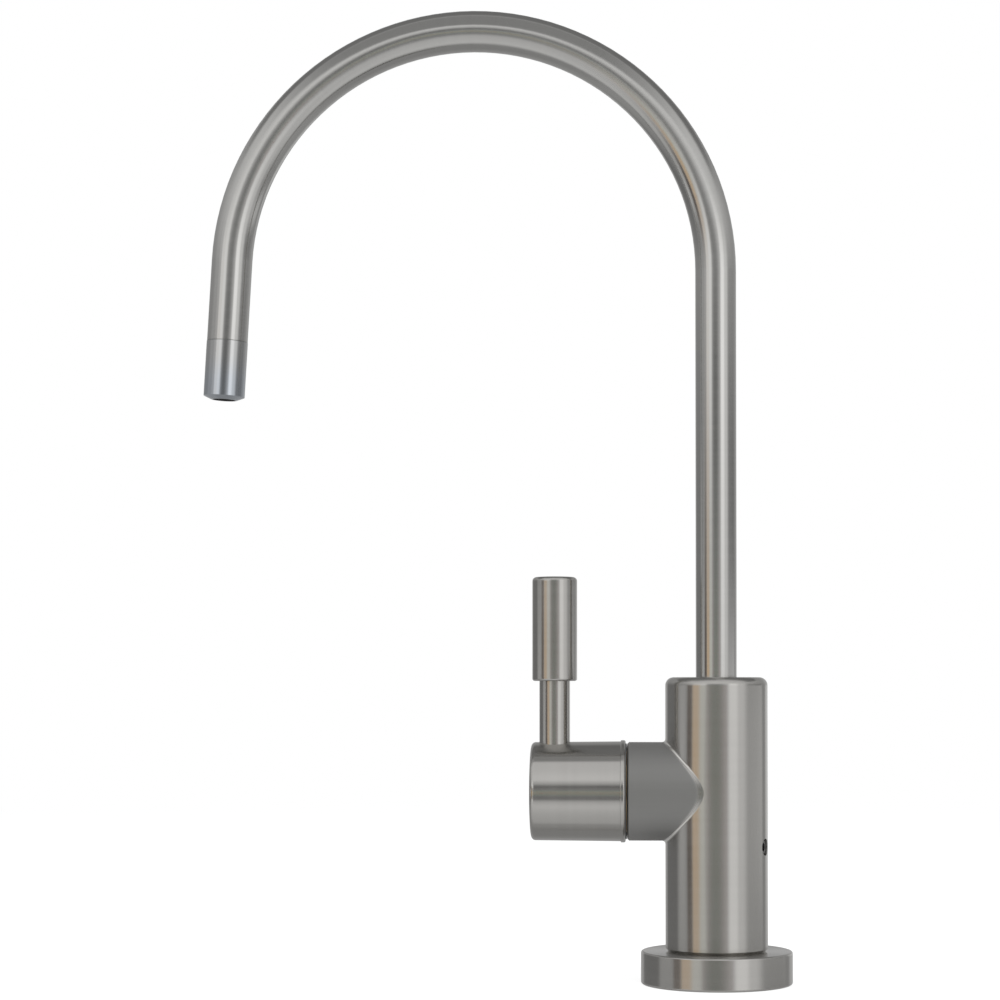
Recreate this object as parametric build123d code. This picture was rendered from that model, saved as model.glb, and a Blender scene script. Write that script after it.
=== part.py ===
from build123d import *
import math
import os

# Drinking water faucet, deck mounted. Millimetres, +Z up. The origin is the centre of the flange's underside,
# which rests on the deck. The spout and the handle both point along -X.

os.makedirs("parts", exist_ok=True)

# Clearances
thread_clearance = 0.05       # radial, between a thread and its hole, both drawn plain
swivel_clearance = 0.10       # radial, spout tube in the body
ferrule_clearance = 0.07      # radial, spout ferrule in the body
guide_clearance = 0.04        # radial, spout guide ring in the body
seal_clearance = 0.03         # radial, a seal on each face of its groove
turn_clearance = 0.10         # radial, turning valve pieces in the cartridge
journal_clearance = 0.05      # radial, spindle in the barrel's neck
slip_clearance = 0.05         # radial, pieces pushed together by hand
side_clearance = 0.15         # along the axis, a ring in its groove
joint_gap = 0.40              # between the valve boss and the handle hub
glide_gap = 0.15              # between the valve boss and the glide ring

# Drawing
over = 1.0                    # how far a cut or a joined bar reaches past the face
hexagon_corner_cut = 0.9      # how much of a hexagon's corners is turned down
hexagon_cut_slope = 0.58      # height of that cut for each millimetre of its width

# Base flange and gasket
flange_radius = 18.5
flange_height = 8.0
flange_top_round = 0.5
flange_foot_round = 0.6
flange_bore_radius = 7.0
gasket_radius = 15.5
gasket_thickness = 2.5
gasket_bore_radius = 6.4

# Body
body_radius = 12.5
body_height = 66.7
body_top_round = 2.0
body_foot_chamfer = 0.7
foot_ring_radius = 8.9
foot_ring_section = 1.5

# Valve boss on the body's side
boss_radius = 12.04
boss_reach = 21.8
boss_edge_chamfer = 0.45
seam_round = 0.8
cartridge_bore_radius = 8.3
cartridge_bore_depth = 16.6
collar_pocket_radius = 10.0
collar_pocket_depth = 4.8
valve_wall = 1.3              # between the spout socket and the cartridge bore
shank_wall = 1.4              # between the cartridge bore and the shank socket

# Water ways in the body
inlet_way_radius = 3.0
inlet_way_rise = 2.6
seat_port_radius = 2.6
outlet_way_radius = 1.8

# Spout
tube_radius = 5.0
tube_wall = 1.0
tube_insertion = 3.2          # how far the tube goes into the body
socket_chamfer = 0.35
leg_height = 99.9             # straight leg above the body, up to the bend
bend_radius = 59.9
bend_angle = 176.8
drop_length = 20.1            # straight stretch between the bend and the outlet tip

# Outlet tip
tip_radius = 5.06
tip_length = 14.5
tip_nose_rise = 0.8
tip_nose_land = 0.40
tip_joint_groove = 0.15
tip_spigot_length = 9.0
outlet_radius = 2.8
outlet_depth = 8.0
straightener_radius = 2.6
straightener_length = 4.2
straightener_wall = 0.4
straightener_vane = 0.5
straightener_vanes = 3        # full-width vanes, so twice as many arms
tip_way_radius = 2.2
tip_ring_from_joint = 4.0
tip_ring_section = 1.2

# Spout ferrule and its rings
ferrule_length = 11.2
ferrule_spigot_length = 6.6
ferrule_way_radius = 2.8
ferrule_ring_gap = 0.9        # land between two grooves
swivel_seal_section = 1.35
swivel_seal_groove = 1.7
guide_ring_height = 2.1
guide_ring_depth = 0.65
guide_ring_slot = 1.0
snap_ring_height = 0.8
snap_ring_radius = 5.6
snap_ring_width = 1.3
snap_ring_opening = 60.0
socket_chamber = 3.9          # free height below the ferrule

# Cartridge
collar_radius = 9.7
collar_thickness = 1.6
barrel_wall = 1.0
barrel_waist_depth = 1.0      # how much the barrel is relieved around its windows
seat_seal_thickness = 1.6
seat_seal_inner_radius = 4.7
seat_seal_outer_radius = 6.0
seat_seal_stand = 0.3         # how far the seal stands out of the barrel
fixed_disc_thickness = 3.0
moving_disc_thickness = 2.6
disc_port_inner_radius = 1.6
disc_port_outer_radius = 4.6
disc_port_angle = 84.0
disc_ear_reach = 1.1
disc_ear_width = 2.4
disc_slot_depth = 1.0
disc_slot_width = 2.0
outflow_gap = 0.8             # between the moving disc and the spindle's head
window_count = 4
window_angle = 50.0
window_sill = 1.0             # height of the moving disc that the barrel still holds
head_radius = 5.2
head_thickness = 1.7
lug_angle = 30.0
handle_travel = 90.0
stop_slack = 1.0              # degrees left at the end stops
journal_radius = 4.5
neck_radius = 6.2
neck_stand = 1.2              # how far the neck stands out of the boss
spindle_seal_section = 1.1
spindle_seal_groove = 1.4
spindle_seal_spacing = 2.6
barrel_ring_section = 1.2
barrel_ring_groove = 1.6
clip_thickness = 0.8
clip_outer_radius = 5.8
clip_groove_depth = 0.9
clip_opening = 80.0
shaft_radius = 4.0
shaft_length = 4.0
drive_square = 5.6
drive_length = 13.0
nut_thread_length = 4.0
nut_hex_thickness = 2.4
nut_across_flats = 17.6

# Handle
hub_length = 23.1
hub_end_radius = 12.0
hub_mouth_radius = 12.2
hub_end_round = 1.1
bead_radius = 12.5
bead_width = 1.2
bead_round = 0.45
bead_back_round = 0.24
hub_hollow_radius = 10.7
hub_hollow_depth = 4.2
glide_ring_radius = 11.7
glide_ring_thickness = 1.0
drive_socket_end = 0.5        # free length beyond the drive's end
lever_inset = 5.7             # from the hub's closed end to the lever's axis
stem_radius = 3.75
stem_seat_drop = 1.5          # how deep the stem's shoulder sits in the hub
stem_tail_radius = 2.5
stem_length = 16.5
stem_stud_length = 10.0
knob_radius = 5.5
knob_length = 25.5
knob_top_round = 1.0
knob_foot_round = 0.6
knob_hole_spare = 1.0         # free depth above the stem's stud

# Shank and supply
shank_radius = 5.556          # 7/16 in thread
shank_bore_radius = 3.0
shank_below_deck = 50.0
shank_end_chamfer = 0.35
shank_seal_thickness = 1.2
shank_seal_inner_radius = 3.4
tube_hole_radius = 3.3        # takes the 1/4 in supply tube
tube_socket_depth = 12.0
sleeve_cone = 1.6
sleeve_cone_gap = 0.12
sleeve_flange_thickness = 0.35
supply_nut_across_flats = 15.0
supply_nut_length = 12.0
supply_nut_end = 2.2

# Grub screw in the body
grub_radius = 2.0
grub_recess = 0.55
grub_drop = 2.4               # below the shank's upper end
grub_angle = 70.0             # round the body, from -Y towards +X
grub_hex = 2.0
grub_hex_depth = 2.2
grub_chamfer = 0.35

# Clamp under the deck
deck_thickness = 20.0
clamp_hole_clearance = 0.2
clamp_washer_radius = 15.0
clamp_washer_thickness = 2.5
clamp_washer_chamfer = 0.5
lock_washer_radius = 8.0
lock_tooth_reach = 1.6
lock_tooth_width = 2.0
lock_tooth_count = 12
lock_washer_thickness = 0.9
mounting_nut_across_flats = 17.5
mounting_nut_height = 6.0

# Places worked out from the sizes
foot_z = flange_height
body_top_z = foot_z + body_height
tube_foot_z = body_top_z - tube_insertion
ferrule_foot_z = tube_foot_z - ferrule_length
socket_floor_z = ferrule_foot_z - socket_chamber
valve_z = socket_floor_z - valve_wall - cartridge_bore_radius
shank_socket_z = valve_z - cartridge_bore_radius - shank_wall
shank_top_z = shank_socket_z - shank_seal_thickness
shank_end_z = -shank_below_deck
bend_z = body_top_z + leg_height
spout_bore_radius = tube_radius + swivel_clearance
ferrule_radius = spout_bore_radius - ferrule_clearance
tube_bore_radius = tube_radius - tube_wall
shank_hole_radius = shank_radius + thread_clearance

# Places along the valve's axis, measured outwards from the boss's open face
seat_floor = -cartridge_bore_depth
barrel_start = seat_floor + seat_seal_stand
fixed_disc_start = seat_floor + seat_seal_thickness
moving_disc_start = fixed_disc_start + fixed_disc_thickness
moving_disc_end = moving_disc_start + moving_disc_thickness
head_start = moving_disc_end + outflow_gap
head_end = head_start + head_thickness
barrel_bore_end = head_end + turn_clearance
collar_start = -collar_pocket_depth
collar_end = collar_start + collar_thickness
nut_hex_start = collar_end + nut_thread_length
nut_end = nut_hex_start + nut_hex_thickness
clip_groove_start = neck_stand + turn_clearance
clip_groove_end = clip_groove_start + clip_thickness + turn_clearance
shaft_end = clip_groove_end + shaft_length
drive_end = shaft_end + drive_length
hub_start = joint_gap
hub_end = hub_start + hub_length
lever_place = hub_end - lever_inset

barrel_outer_radius = cartridge_bore_radius - turn_clearance
barrel_waist_radius = barrel_outer_radius - barrel_waist_depth
barrel_bore_radius = barrel_waist_radius - barrel_wall
disc_radius = barrel_bore_radius - turn_clearance
waist_start = fixed_disc_start + fixed_disc_thickness / 3
waist_end = head_start + head_thickness / 3

# Frames: x is up, y is back and z is outwards along the valve's axis, from the boss's face
valve_frame = Plane(origin=(-boss_reach, 0, valve_z), x_dir=(0, 0, 1), z_dir=(-1, 0, 0))
grub_way = (math.sin(math.radians(grub_angle)), -math.cos(math.radians(grub_angle)), 0)
grub_z = shank_top_z - grub_drop
grub_frame = Plane(origin=(0, 0, grub_z), x_dir=(0, 0, 1), z_dir=grub_way)


def rod(radius, low, high):
    """A round bar on the Z axis."""
    return Pos(0, 0, low) * Cylinder(radius, high - low, align=(Align.CENTER, Align.CENTER, Align.MIN))


def ring(outer, inner, low, high):
    """A flat ring on the Z axis."""
    return rod(outer, low, high) - rod(inner, low - over, high + over)


def hexagon(across_flats, low, high):
    """A hexagonal bar on the Z axis."""
    outline = RegularPolygon(across_flats / 2, 6, major_radius=False)
    return extrude(Pos(0, 0, low) * outline, high - low)


def chamfered_hexagon(across_flats, low, high, both_ends):
    """A hexagonal bar whose corners are turned down at its ends."""
    corner = across_flats / math.sqrt(3)
    blank = rod(corner, low, high)
    cut = (corner - across_flats / 2) * hexagon_corner_cut
    ends = circle_edges(blank, corner, high)
    if both_ends:
        ends = ends + circle_edges(blank, corner, low)
    blank = chamfer(ends, cut * hexagon_cut_slope, cut)
    return hexagon(across_flats, low, high) & blank


def square_bar(side, low, high):
    """A square bar on the Z axis."""
    return extrude(Pos(0, 0, low) * Rectangle(side, side), high - low)


def sector(radius, start, sweep_angle, low, high):
    """A slice of a round bar, from an angle and over an angle, in degrees."""
    first = Vector(radius, 0).rotate(Axis.Z, start)
    last = Vector(radius, 0).rotate(Axis.Z, start + sweep_angle)
    middle = Vector(radius, 0).rotate(Axis.Z, start + sweep_angle / 2)
    outline = Line((0, 0), first) + ThreePointArc(first, middle, last) + Line(last, (0, 0))
    return extrude(Pos(0, 0, low) * make_face(outline), high - low)


def turned(*points):
    """A body turned on the Z axis from (radius, height) points."""
    outline = Polyline(*[(radius, 0, height) for radius, height in points], close=True)
    return revolve(make_face(outline), Axis.Z)


def round_seal(middle_radius, section, height):
    """A round rubber ring on the Z axis."""
    return Pos(0, 0, height) * Torus(middle_radius, section / 2)


def circle_edges(solid, radius, height):
    """The round edges of a solid that have this radius and lie at this height."""
    return [
        edge
        for edge in solid.edges().filter_by(GeomType.CIRCLE)
        if abs(edge.radius - radius) < 0.001 and abs(edge.arc_center.Z - height) < 0.001
    ]


def save(solid, name):
    """Write one sub-part, named after its node."""
    solid.label = name
    export_step(solid, f"parts/{name}.step")


def make_base_flange():
    flange = rod(flange_radius, 0, flange_height)
    flange = fillet(circle_edges(flange, flange_radius, flange_height), flange_top_round)
    flange = fillet(circle_edges(flange, flange_radius, 0), flange_foot_round)
    flange -= rod(flange_bore_radius, -over, flange_height + over)
    return flange - rod(gasket_radius + slip_clearance, -over, gasket_thickness)


def make_base_gasket():
    return ring(gasket_radius, gasket_bore_radius, 0, gasket_thickness)


def body_shell():
    """The outside of the column and its valve boss, as one piece, with the seam between them rounded."""
    column = rod(body_radius, foot_z, body_top_z)
    column = fillet(circle_edges(column, body_radius, body_top_z), body_top_round)
    column = chamfer(circle_edges(column, body_radius, foot_z), body_foot_chamfer)
    boss = rod(boss_radius, -boss_reach, 0)
    boss = chamfer(circle_edges(boss, boss_radius, 0), boss_edge_chamfer)
    shell = column + valve_frame.location * boss
    seam = [
        edge
        for edge in shell.edges()
        if edge.geom_type not in (GeomType.CIRCLE, GeomType.LINE) and edge.center().X < -1
    ]
    return fillet(seam, seam_round)


def make_faucet_body():
    body = body_shell()
    body -= rod(shank_hole_radius, foot_z - over, shank_socket_z)
    body -= rod(inlet_way_radius, shank_socket_z - over, valve_z + inlet_way_rise)
    body -= rod(spout_bore_radius, socket_floor_z, body_top_z + over)
    body = chamfer(circle_edges(body, spout_bore_radius, body_top_z), socket_chamfer)
    snap_low, snap_high = snap_groove()
    body -= rod(snap_ring_radius + side_clearance, snap_low, snap_high)
    groove_outer = foot_ring_radius + foot_ring_section
    groove_inner = foot_ring_radius - foot_ring_section
    foot_groove = ring(groove_outer, groove_inner, -over, foot_ring_section)
    body -= Pos(0, 0, foot_z) * foot_groove
    valve = rod(cartridge_bore_radius, seat_floor, over)
    valve += rod(collar_pocket_radius, collar_start, over)
    valve += rod(seat_port_radius, -boss_reach, seat_floor + over)
    body -= valve_frame.location * valve
    body -= make_outlet_way()
    body -= grub_frame.location * rod(grub_radius + thread_clearance, shank_radius / 2, body_radius + over)
    return body


def make_outlet_way():
    """The slanted drilling from the cartridge bore up into the spout socket."""
    from_x = -boss_reach - (waist_start + waist_end) / 2
    start = Vector(from_x, 0, valve_z + cartridge_bore_radius - outlet_way_radius)
    end = Vector(-outlet_way_radius / 2, 0, socket_floor_z + outlet_way_radius)
    way = Plane(origin=start, z_dir=end - start)
    return way.location * rod(outlet_way_radius, 0, (end - start).length)


def make_body_o_ring():
    return round_seal(foot_ring_radius, foot_ring_section, foot_z + foot_ring_section / 2)


def make_body_grub_screw():
    tip = shank_radius + slip_clearance
    head = body_radius - grub_recess
    grub = rod(grub_radius, tip, head)
    grub = chamfer(circle_edges(grub, grub_radius, tip) + circle_edges(grub, grub_radius, head), grub_chamfer)
    grub -= hexagon(grub_hex, head - grub_hex_depth, head + over)
    return grub_frame.location * grub


def make_threaded_shank():
    shank = rod(shank_radius, shank_end_z, shank_top_z)
    ends = circle_edges(shank, shank_radius, shank_end_z) + circle_edges(shank, shank_radius, shank_top_z)
    shank = chamfer(ends, shank_end_chamfer)
    shank -= rod(shank_bore_radius, shank_end_z - over, shank_top_z + over)
    shank -= rod(tube_hole_radius, shank_end_z - over, shank_end_z + tube_socket_depth)
    mouth = tube_hole_radius + sleeve_cone
    cone = Cone(mouth, tube_hole_radius, sleeve_cone, align=(Align.CENTER, Align.CENTER, Align.MIN))
    return shank - Pos(0, 0, shank_end_z) * cone


def make_shank_seal():
    return ring(shank_radius, shank_seal_inner_radius, shank_top_z, shank_socket_z)


def make_supply_sleeve():
    flange_low = shank_end_z - sleeve_flange_thickness - slip_clearance
    flange_high = shank_end_z - slip_clearance
    return turned(
        (tube_hole_radius, flange_low),
        (shank_radius - sleeve_cone_gap, flange_low),
        (shank_radius - sleeve_cone_gap, flange_high),
        (tube_hole_radius + sleeve_cone - sleeve_cone_gap, flange_high),
        (tube_hole_radius + sleeve_cone_gap, shank_end_z + sleeve_cone - 3 * sleeve_cone_gap),
        (tube_hole_radius, shank_end_z + sleeve_cone - 3 * sleeve_cone_gap),
    )


def make_supply_nut():
    inner_end = shank_end_z - sleeve_flange_thickness - slip_clearance
    low = inner_end - supply_nut_end
    nut = chamfered_hexagon(supply_nut_across_flats, low, low + supply_nut_length, True)
    nut -= rod(shank_hole_radius, inner_end, low + supply_nut_length + over)
    return nut - rod(tube_hole_radius, low - over, inner_end + over)


def make_clamp_washer():
    low = -deck_thickness - clamp_washer_thickness
    washer = rod(clamp_washer_radius, low, -deck_thickness)
    rims = washer.edges().filter_by(GeomType.CIRCLE)
    washer = chamfer(rims, clamp_washer_chamfer)
    return washer - rod(shank_radius + clamp_hole_clearance, low - over, 0)


def make_lock_washer():
    high = -deck_thickness - clamp_washer_thickness
    low = high - lock_washer_thickness
    washer = rod(lock_washer_radius, low, high)
    tooth_length = lock_washer_radius + lock_tooth_reach
    tooth = Pos(0, 0, low) * Box(
        tooth_length, lock_tooth_width, lock_washer_thickness, align=(Align.MIN, Align.CENTER, Align.MIN)
    )
    for index in range(lock_tooth_count):
        washer += Rot(0, 0, index * 360 / lock_tooth_count) * tooth
    return washer - rod(shank_radius + clamp_hole_clearance, low - over, high + over)


def make_mounting_nut():
    high = -deck_thickness - clamp_washer_thickness - lock_washer_thickness
    low = high - mounting_nut_height
    nut = chamfered_hexagon(mounting_nut_across_flats, low, high, True)
    return nut - rod(shank_hole_radius, low - over, high + over)


def snap_groove():
    """The heights between which the snap ring's groove lies, in the body and in the ferrule."""
    low = ferrule_foot_z + ferrule_ring_gap
    return low, low + snap_ring_height + 2 * side_clearance


def seal_grooves():
    """The heights between which each of the two swivel seals lies."""
    first = snap_groove()[1] + ferrule_ring_gap
    second = first + swivel_seal_groove + ferrule_ring_gap
    return (first, first + swivel_seal_groove), (second, second + swivel_seal_groove)


def guide_groove():
    """The heights between which the guide ring lies."""
    low = seal_grooves()[1][1] + ferrule_ring_gap
    return low, low + guide_ring_height + side_clearance


def make_spout_ferrule():
    ferrule = rod(ferrule_radius, ferrule_foot_z, tube_foot_z)
    ferrule += rod(tube_bore_radius, tube_foot_z - over, tube_foot_z + ferrule_spigot_length)
    snap_low, snap_high = snap_groove()
    groove_floor = snap_ring_radius - snap_ring_width - side_clearance
    ferrule -= ring(ferrule_radius + over, groove_floor, snap_low, snap_high)
    for low, high in seal_grooves():
        ferrule -= ring(ferrule_radius + over, spout_bore_radius - swivel_seal_section, low, high)
    low, high = guide_groove()
    ferrule -= ring(ferrule_radius + over, ferrule_radius - guide_ring_depth, low, high)
    spigot_top = tube_foot_z + ferrule_spigot_length
    return ferrule - rod(ferrule_way_radius, ferrule_foot_z - over, spigot_top + over)


def make_spout_o_rings():
    middle = spout_bore_radius - swivel_seal_section / 2
    seals = [
        round_seal(middle, swivel_seal_section - 2 * seal_clearance, (low + high) / 2)
        for low, high in seal_grooves()
    ]
    return Compound(children=seals)


def make_spout_guide_ring():
    low, high = guide_groove()
    middle = (low + high) / 2
    inner = ferrule_radius - guide_ring_depth + slip_clearance
    outer = spout_bore_radius - guide_clearance
    guide = ring(outer, inner, middle - guide_ring_height / 2, middle + guide_ring_height / 2)
    return guide - Pos(outer, 0, middle) * Box(2 * outer, guide_ring_slot, 2 * guide_ring_height)


def make_spout_snap_ring():
    low, high = snap_groove()
    middle = (low + high) / 2
    half = snap_ring_height / 2
    snap = ring(snap_ring_radius, snap_ring_radius - snap_ring_width, middle - half, middle + half)
    start = -snap_ring_opening / 2
    opening = sector(2 * snap_ring_radius, start, snap_ring_opening, middle - over, middle + over)
    return snap - opening


def spout_line():
    """The tube's centre line: up the leg, round the bend and down towards the outlet."""
    leg = Line((0, 0, tube_foot_z), (0, 0, bend_z))
    bend_plane = Plane(origin=(-bend_radius, 0, bend_z), x_dir=(1, 0, 0), z_dir=(0, -over, 0))
    bend = bend_plane.from_local_coords(CenterArc((0, 0), bend_radius, 0, bend_angle))
    drop = Line(bend @ 1, bend @ 1 + (bend % 1) * drop_length)
    return leg, bend, drop


def tip_frame():
    """The frame of the outlet tip: its origin is the joint with the tube and z points out of the outlet."""
    drop = spout_line()[2]
    return Plane(origin=drop @ 1, x_dir=(0, 1, 0), z_dir=drop % 1)


def make_spout_tube():
    leg, bend, drop = spout_line()
    line = leg + bend + drop
    start = Plane(origin=leg @ 0, z_dir=(0, 0, 1))
    section = Circle(tube_radius) - Circle(tube_bore_radius)
    return sweep(start * section, path=line)


def make_outlet_tip():
    tip = rod(tip_radius, 0, tip_length)
    nose_width = tip_radius - outlet_radius - tip_nose_land
    nose = circle_edges(tip, tip_radius, tip_length)
    tip = chamfer(nose, tip_nose_rise, nose_width, reference=tip_face(tip))
    tip = chamfer(circle_edges(tip, tip_radius, 0), tip_joint_groove)
    tip += rod(tube_bore_radius - slip_clearance, -tip_spigot_length, over)
    ring_floor = tip_ring_floor()
    ring_low = -tip_ring_from_joint - tip_ring_section
    tip -= ring(tube_radius, ring_floor, ring_low, -tip_ring_from_joint)
    tip -= rod(tip_way_radius, -tip_spigot_length - over, tip_length)
    tip -= rod(straightener_radius, tip_length - outlet_depth - straightener_length, tip_length)
    tip -= rod(outlet_radius, tip_length - outlet_depth, tip_length + over)
    return tip_frame().location * tip


def tip_face(tip):
    """The side wall of the plain tip, from which its nose is measured."""
    return tip.faces().filter_by(GeomType.CYLINDER)[0]


def tip_ring_floor():
    return tube_bore_radius - tip_ring_section + 2 * seal_clearance


def make_outlet_o_ring():
    section = tube_bore_radius - tip_ring_floor()
    middle = tube_bore_radius - section / 2
    seal = round_seal(middle, section - 2 * seal_clearance, -tip_ring_from_joint - tip_ring_section / 2)
    return tip_frame().location * seal


def make_flow_straightener():
    high = tip_length - outlet_depth
    low = high - straightener_length
    outer = straightener_radius - slip_clearance
    straightener = ring(outer, outer - straightener_wall, low, high)
    arm = Pos(0, 0, low) * Box(
        2 * outer - straightener_wall,
        straightener_vane,
        straightener_length,
        align=(Align.CENTER, Align.CENTER, Align.MIN),
    )
    for index in range(straightener_vanes):
        straightener += Rot(0, 0, index * 180 / straightener_vanes) * arm
    return tip_frame().location * straightener


def make_cartridge_barrel():
    barrel = rod(barrel_outer_radius, barrel_start, collar_start)
    barrel += rod(collar_radius, collar_start, collar_end)
    barrel += rod(neck_radius, collar_start, neck_stand)
    barrel -= ring(barrel_outer_radius + over, barrel_waist_radius, waist_start, waist_end)
    ring_low, ring_high = barrel_ring_place()
    barrel -= ring(barrel_outer_radius + over, barrel_ring_floor(), ring_low, ring_high)
    barrel -= rod(barrel_bore_radius, barrel_start - over, barrel_bore_end)
    barrel -= rod(journal_radius + journal_clearance, barrel_bore_end - over, neck_stand + over)
    barrel += make_travel_stop()
    ear_slot = Pos(0, 0, barrel_start - over) * Box(
        2 * (barrel_bore_radius + disc_ear_reach + slip_clearance),
        disc_ear_width + 2 * slip_clearance,
        moving_disc_start - barrel_start + over,
        align=(Align.CENTER, Align.CENTER, Align.MIN),
    )
    barrel -= ear_slot
    window_low = moving_disc_start + window_sill
    for index in range(window_count):
        start = 360 / window_count * (index + 1 / 2) - window_angle / 2
        window = sector(barrel_outer_radius, start, window_angle, window_low, head_start)
        barrel -= window - rod(barrel_bore_radius / 2, window_low - over, head_start + over)
    return valve_frame.location * barrel


def make_travel_stop():
    """The rib inside the barrel that the spindle's lug meets at both ends of its travel."""
    free = handle_travel + lug_angle + 2 * stop_slack
    start = lug_start() + handle_travel + lug_angle + stop_slack
    rib = sector(barrel_waist_radius, start, 360 - free, head_start, barrel_bore_end)
    return rib - rod(head_radius + 2 * turn_clearance, head_start - over, barrel_bore_end + over)


def lug_start():
    """Where the spindle's lug begins at rest. A turn about the outward axis is positive here."""
    return -lug_angle / 2 - handle_travel / 2


def barrel_ring_place():
    middle = (waist_end + collar_start) / 2
    return middle - barrel_ring_groove / 2, middle + barrel_ring_groove / 2


def barrel_ring_floor():
    return cartridge_bore_radius - barrel_ring_section


def make_cartridge_o_ring():
    low, high = barrel_ring_place()
    middle = cartridge_bore_radius - barrel_ring_section / 2
    seal = round_seal(middle, barrel_ring_section - 2 * seal_clearance, (low + high) / 2)
    return valve_frame.location * seal


def make_cartridge_seat_seal():
    seal = ring(seat_seal_outer_radius, seat_seal_inner_radius, seat_floor, fixed_disc_start)
    return valve_frame.location * seal


def disc_ports(turn, low, high):
    """The two opposite openings of a ceramic disc."""
    ports = None
    for side in (0, 180):
        start = turn + side - disc_port_angle / 2
        port = sector(disc_port_outer_radius, start, disc_port_angle, low, high)
        port -= rod(disc_port_inner_radius, low - over, high + over)
        ports = port if ports is None else ports + port
    return ports


def make_fixed_disc():
    disc = rod(disc_radius, fixed_disc_start, moving_disc_start)
    disc += Pos(0, 0, fixed_disc_start) * Box(
        2 * (barrel_bore_radius + disc_ear_reach),
        disc_ear_width,
        fixed_disc_thickness,
        align=(Align.CENTER, Align.CENTER, Align.MIN),
    )
    disc -= disc_ports(0, fixed_disc_start - over, moving_disc_start + over)
    return valve_frame.location * disc


def drive_slot(width, low, high):
    """A bar across the moving disc, in which the spindle's two keys sit."""
    return Pos(0, 0, low) * Box(
        2 * head_radius, width, high - low, align=(Align.CENTER, Align.CENTER, Align.MIN)
    )


def make_moving_disc():
    disc = rod(disc_radius, moving_disc_start, moving_disc_end)
    disc -= disc_ports(90, moving_disc_start - over, moving_disc_end + over)
    slot = drive_slot(disc_slot_width, moving_disc_end - disc_slot_depth, moving_disc_end + over)
    return valve_frame.location * (disc - slot)


def make_cartridge_spindle():
    spindle = rod(head_radius, head_start, head_end)
    spindle += sector(barrel_bore_radius - turn_clearance, lug_start(), lug_angle, head_start, head_end)
    key_width = disc_slot_width - 2 * slip_clearance
    key = drive_slot(key_width, moving_disc_end - disc_slot_depth + slip_clearance, head_end)
    spindle += key & rod(head_radius - turn_clearance, moving_disc_start, head_end)
    spindle += rod(journal_radius, head_start, clip_groove_end)
    spindle += rod(shaft_radius, head_start, shaft_end)
    spindle += square_bar(drive_square, shaft_end - over, drive_end)
    clip_floor = journal_radius - clip_groove_depth
    spindle -= ring(journal_radius + over, clip_floor, clip_groove_start, clip_groove_end)
    for low, high in spindle_ring_places():
        spindle -= ring(journal_radius + over, spindle_ring_floor(), low, high)
    return valve_frame.location * spindle


def spindle_ring_places():
    """Where the two spindle seals lie, inside the barrel's neck."""
    middle = (barrel_bore_end + neck_stand) / 2
    places = (middle - spindle_seal_spacing / 2, middle + spindle_seal_spacing / 2)
    return [(place - spindle_seal_groove / 2, place + spindle_seal_groove / 2) for place in places]


def spindle_ring_floor():
    return journal_radius + journal_clearance - spindle_seal_section


def make_spindle_o_rings():
    middle = journal_radius + journal_clearance - spindle_seal_section / 2
    seals = [
        valve_frame.location * round_seal(middle, spindle_seal_section - 2 * seal_clearance, (low + high) / 2)
        for low, high in spindle_ring_places()
    ]
    return Compound(children=seals)


def make_spindle_clip():
    middle = (clip_groove_start + clip_groove_end) / 2
    low = middle - clip_thickness / 2
    high = middle + clip_thickness / 2
    inner = journal_radius - clip_groove_depth + slip_clearance
    clip = ring(clip_outer_radius, inner, low, high)
    opening = sector(2 * clip_outer_radius, 90 - clip_opening / 2, clip_opening, low - over, high + over)
    return valve_frame.location * (clip - opening)


def make_cartridge_nut():
    nut = rod(collar_pocket_radius - thread_clearance, collar_end, nut_hex_start)
    nut += chamfered_hexagon(nut_across_flats, nut_hex_start, nut_end, False)
    nut -= rod(neck_radius + 2 * turn_clearance, collar_end - over, nut_end + over)
    return valve_frame.location * nut


def make_handle_hub():
    hub = turned(
        (0, hub_start),
        (bead_radius, hub_start),
        (bead_radius, hub_start + bead_width),
        (hub_mouth_radius, hub_start + bead_width),
        (hub_end_radius, hub_end),
        (0, hub_end),
    )
    hub = fillet(circle_edges(hub, hub_end_radius, hub_end), hub_end_round)
    hub = fillet(circle_edges(hub, bead_radius, hub_start), bead_round)
    hub = fillet(circle_edges(hub, bead_radius, hub_start + bead_width), bead_back_round)
    hub -= rod(hub_hollow_radius, hub_start - over, hub_start + hub_hollow_depth)
    hub -= rod(glide_ring_radius + slip_clearance, hub_start - over, glide_end())
    hub -= rod(shaft_radius + slip_clearance, hub_start, shaft_end + slip_clearance)
    hub -= square_bar(drive_square + 2 * slip_clearance, shaft_end - over, drive_end + drive_socket_end)
    hub -= lever_frame() * rod(stem_radius + slip_clearance, stem_seat(), bead_radius + over)
    hub -= lever_frame() * rod(stem_tail_radius + slip_clearance, 0, hub_end_radius)
    return valve_frame.location * hub


def glide_end():
    """How far the glide ring reaches into the hub, measured from the boss's face."""
    return glide_gap + glide_ring_thickness


def make_hub_glide_ring():
    glide = ring(glide_ring_radius, hub_hollow_radius, glide_gap, glide_end())
    return valve_frame.location * glide


def lever_frame():
    """The lever's frame inside the valve's frame: its z runs up the lever from the valve's axis."""
    return Pos(0, 0, lever_place) * Rot(0, 90, 0)


def stem_seat():
    """How far above the valve's axis the stem's shoulder sits."""
    return hub_end_radius - stem_seat_drop


def make_lever_stem():
    seat = stem_seat()
    stem = rod(stem_radius, seat, seat + stem_length)
    stem += rod(stem_tail_radius, drive_square / 2 + slip_clearance, seat + over)
    stud_top = seat + stem_length + stem_stud_length
    stem += rod(stem_tail_radius, seat + stem_length - over, stud_top)
    return valve_frame.location * (lever_frame() * stem)


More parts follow.
